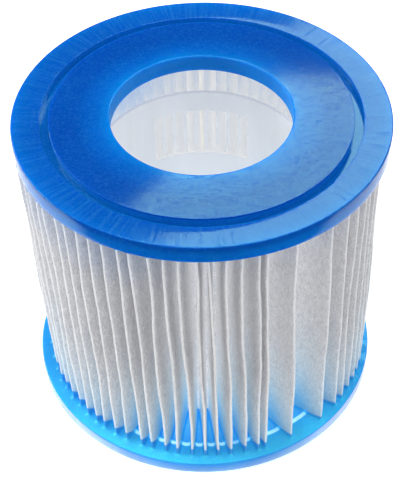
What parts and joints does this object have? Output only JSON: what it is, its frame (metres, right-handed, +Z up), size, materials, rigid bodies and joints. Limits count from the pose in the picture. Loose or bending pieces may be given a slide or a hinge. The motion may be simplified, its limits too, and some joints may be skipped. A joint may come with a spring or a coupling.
{
  "type": "filter cartridge",
  "caption": "Short round pleated filter cartridge: two grooved blue cast end caps, a white pleated media pack and a windowed plastic core round an open centre hole.",
  "frame": {"origin": "centre of the bottom end cap's outer face, on which the cartridge stands", "axes": "+Z up the cartridge's axis; the core's windows face +X, -X, +Y and -Y, and the media's glued seam is on +Y; the picture looks along +Y from above"},
  "size_m": [0.106, 0.106, 0.096],
  "materials": {
    "cap_blue": "glossy, slightly translucent cast polyurethane or soft PVC",
    "media_white": "matte spun-bonded polyester non-woven",
    "core_white": "satin natural-white moulded polypropylene",
    "seam_glue": "milky hot-melt adhesive"
  },
  "bodies": {
    "root": {"top_end_cap": "cap_blue", "bottom_end_cap": "cap_blue", "pleated_media": "media_white", "media_side_seam": "seam_glue", "core": "core_white"}
  },
  "joints": []
}
